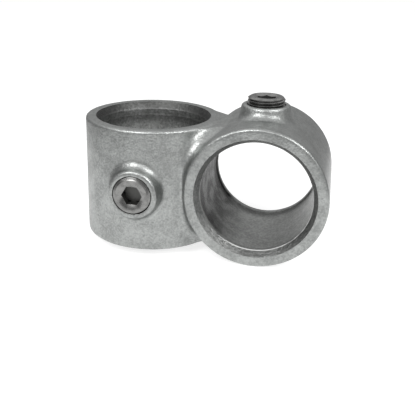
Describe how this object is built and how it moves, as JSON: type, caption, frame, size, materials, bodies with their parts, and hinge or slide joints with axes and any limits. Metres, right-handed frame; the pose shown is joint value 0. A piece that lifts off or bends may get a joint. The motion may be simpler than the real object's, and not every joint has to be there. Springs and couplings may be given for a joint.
{
  "type": "crossover tube clamp",
  "caption": "Cast fitting that joins round tubes crossing at a right angle: two open sockets side by side, each with a bossed socket set screw that grips its tube.",
  "frame": {"origin": "centre of the upright socket, on its axis at half its length", "axes": "+Z along the upright socket, +X towards the level socket, +Y along the level socket; the upright socket's boss faces -Y and the level socket's boss faces +Z"},
  "size_m": [0.1143, 0.068, 0.0706],
  "materials": {
    "galvanised_casting": "hot-dip galvanised, pebbly cast skin",
    "screw_steel": "plated steel, smooth with turned faces"
  },
  "bodies": {
    "casting": {"clamp_body": "galvanised_casting"},
    "upright_screw": {"upright_set_screw": "screw_steel"},
    "level_screw": {"level_set_screw": "screw_steel"}
  },
  "joints": [
    {"name": "upright_screw_travel", "type": "slide", "parent": "casting", "child": "upright_screw", "axis": [0, -1, 0], "range_m": [-0.00535, 0.00535]},
    {"name": "level_screw_travel", "type": "slide", "parent": "casting", "child": "level_screw", "axis": [0, 0, 1], "range_m": [-0.00802, 0.00267]}
  ]
}
